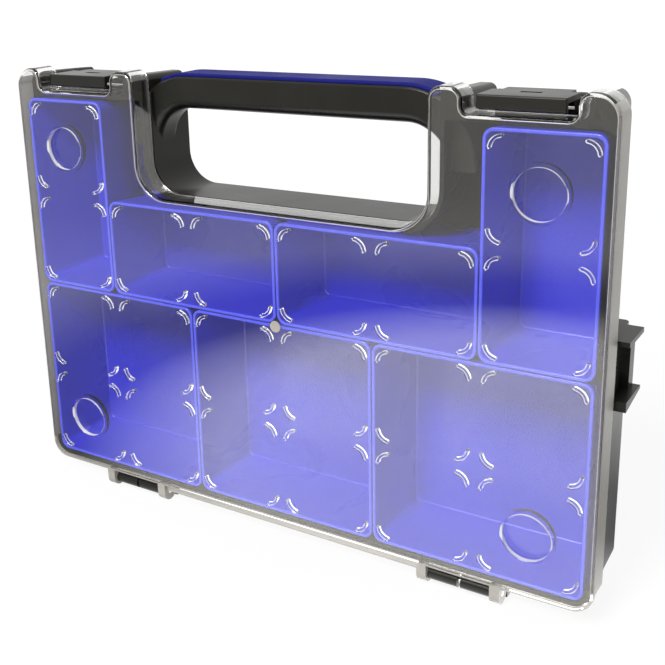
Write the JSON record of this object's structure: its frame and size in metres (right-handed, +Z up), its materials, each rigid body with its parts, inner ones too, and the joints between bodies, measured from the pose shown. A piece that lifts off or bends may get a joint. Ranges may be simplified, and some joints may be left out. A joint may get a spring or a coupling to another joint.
{
  "type": "screw storage case",
  "caption": "Flat carry case with a clear hinged lid, top latches, a hand opening with a grip and lift-out bins for sorting screws and small parts.",
  "frame": {"origin": "centre of the bounding box's bottom face, on the surface the case stands on", "axes": "+X along the width towards the right seen from the lid, +Y from the lid towards the back, +Z up towards the handle"},
  "size_m": [0.2912, 0.044, 0.2108],
  "materials": {
    "black_case": "semi-gloss black",
    "clear_lid": "clear moulded plastic",
    "blue_grip": "soft matt blue",
    "blue_bin": "satin cobalt blue",
    "black_latch": "semi-gloss black",
    "pin_steel": "plain drawn wire"
  },
  "bodies": {
    "case": {"tray": "black_case", "grip": "blue_grip", "bin_lower_left": "blue_bin", "bin_lower_middle": "blue_bin", "bin_lower_right": "blue_bin", "bin_middle_left": "blue_bin", "bin_middle_right": "blue_bin", "bin_upper_left": "blue_bin", "bin_upper_right": "blue_bin", "left_latch_pin": "pin_steel", "right_latch_pin": "pin_steel", "left_hinge_pin": "pin_steel", "right_hinge_pin": "pin_steel"},
    "lid": {"lid": "clear_lid"},
    "left_latch": {"left_latch": "black_latch"},
    "right_latch": {"right_latch": "black_latch"}
  },
  "joints": [
    {"name": "lid_hinge", "type": "hinge", "parent": "case", "child": "lid", "pos_m": [0, -0.0174, 0.0048], "axis": [1, 0, 0], "range_deg": [0, 180]},
    {"name": "left_latch_hinge", "type": "hinge", "parent": "case", "child": "left_latch", "pos_m": [-0.10575, 0.0035, 0.20455], "axis": [-1, 0, 0], "range_deg": [0, 110]},
    {"name": "right_latch_hinge", "type": "hinge", "parent": "case", "child": "right_latch", "pos_m": [0.10575, 0.0035, 0.20455], "axis": [-1, 0, 0], "range_deg": [0, 110]}
  ]
}
